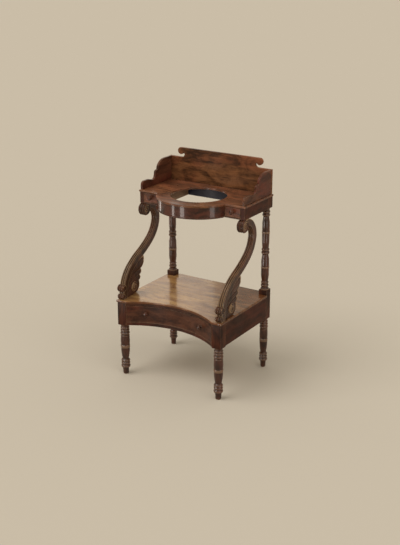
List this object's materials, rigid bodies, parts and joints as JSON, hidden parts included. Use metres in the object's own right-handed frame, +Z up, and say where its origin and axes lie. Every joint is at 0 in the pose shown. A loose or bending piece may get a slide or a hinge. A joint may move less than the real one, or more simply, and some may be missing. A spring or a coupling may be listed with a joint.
{
  "type": "washstand",
  "caption": "Bow-fronted washstand with a basin hole, splashboard, scroll brackets, turned legs, a shelf with a hollow-fronted drawer below and small drawers above.",
  "frame": {"origin": "on the floor, under the middle of the stand's outline", "axes": "+Z up, -Y towards the drawer fronts, +X to the right as seen from the front"},
  "size_m": [0.508, 0.412, 0.914],
  "materials": {
    "mahogany_dark": "old polish, dark",
    "mahogany_brown": "polished, mid brown",
    "mahogany_red": "polished, reddish",
    "mahogany_figured": "polished, flame figure",
    "mahogany_faded": "faded by light, glossy",
    "mahogany_turned": "turned and polished",
    "mahogany_carved": "carved and polished, rubbed on the ridges",
    "deal": "unfinished softwood"
  },
  "bodies": {
    "frame": {"front_leg_left": "mahogany_turned", "front_leg_right": "mahogany_turned", "rear_post_left": "mahogany_turned", "rear_post_right": "mahogany_turned", "lower_side_rail_left": "mahogany_dark", "lower_side_rail_right": "mahogany_dark", "lower_back_rail": "mahogany_dark", "lower_front_top_rail": "mahogany_dark", "lower_front_bottom_rail": "mahogany_dark", "drawer_runner_left": "deal", "drawer_runner_right": "deal", "drawer_kicker_left": "deal", "drawer_kicker_right": "deal", "shelf_board": "mahogany_faded", "scroll_bracket_left": "mahogany_carved", "scroll_bracket_right": "mahogany_carved", "foot_dowel_left": "deal", "foot_dowel_right": "deal", "arch_dowel_left": "deal", "arch_dowel_right": "deal", "upper_side_left": "mahogany_dark", "upper_side_right": "mahogany_dark", "upper_back_rail": "mahogany_dark", "bow_apron": "mahogany_dark", "bow_bead": "mahogany_brown", "case_partition_left": "mahogany_brown", "case_partition_right": "mahogany_brown", "dust_board_left": "mahogany_brown", "dust_board_right": "mahogany_brown", "top_board": "mahogany_brown", "splash_back": "mahogany_figured", "splash_side_left": "mahogany_dark", "splash_side_right": "mahogany_dark"},
    "lower_drawer": {"lower_drawer_front": "mahogany_red", "lower_drawer_side_left": "deal", "lower_drawer_side_right": "deal", "lower_drawer_back": "deal", "lower_drawer_bottom": "deal", "lower_knob_left": "mahogany_turned", "lower_knob_right": "mahogany_turned"},
    "left_drawer": {"left_drawer_front": "mahogany_red", "left_drawer_side_left": "deal", "left_drawer_side_right": "deal", "left_drawer_back": "deal", "left_drawer_bottom": "deal", "left_knob": "mahogany_turned"},
    "right_drawer": {"right_drawer_front": "mahogany_red", "right_drawer_side_left": "deal", "right_drawer_side_right": "deal", "right_drawer_back": "deal", "right_drawer_bottom": "deal", "right_knob": "mahogany_turned"}
  },
  "joints": [
    {"name": "lower_drawer_slide", "type": "slide", "parent": "frame", "child": "lower_drawer", "axis": [0, -1, 0], "range_m": [0, 0.24]},
    {"name": "left_drawer_slide", "type": "slide", "parent": "frame", "child": "left_drawer", "axis": [0, -1, 0], "range_m": [0, 0.14]},
    {"name": "right_drawer_slide", "type": "slide", "parent": "frame", "child": "right_drawer", "axis": [0, -1, 0], "range_m": [0, 0.14]}
  ]
}
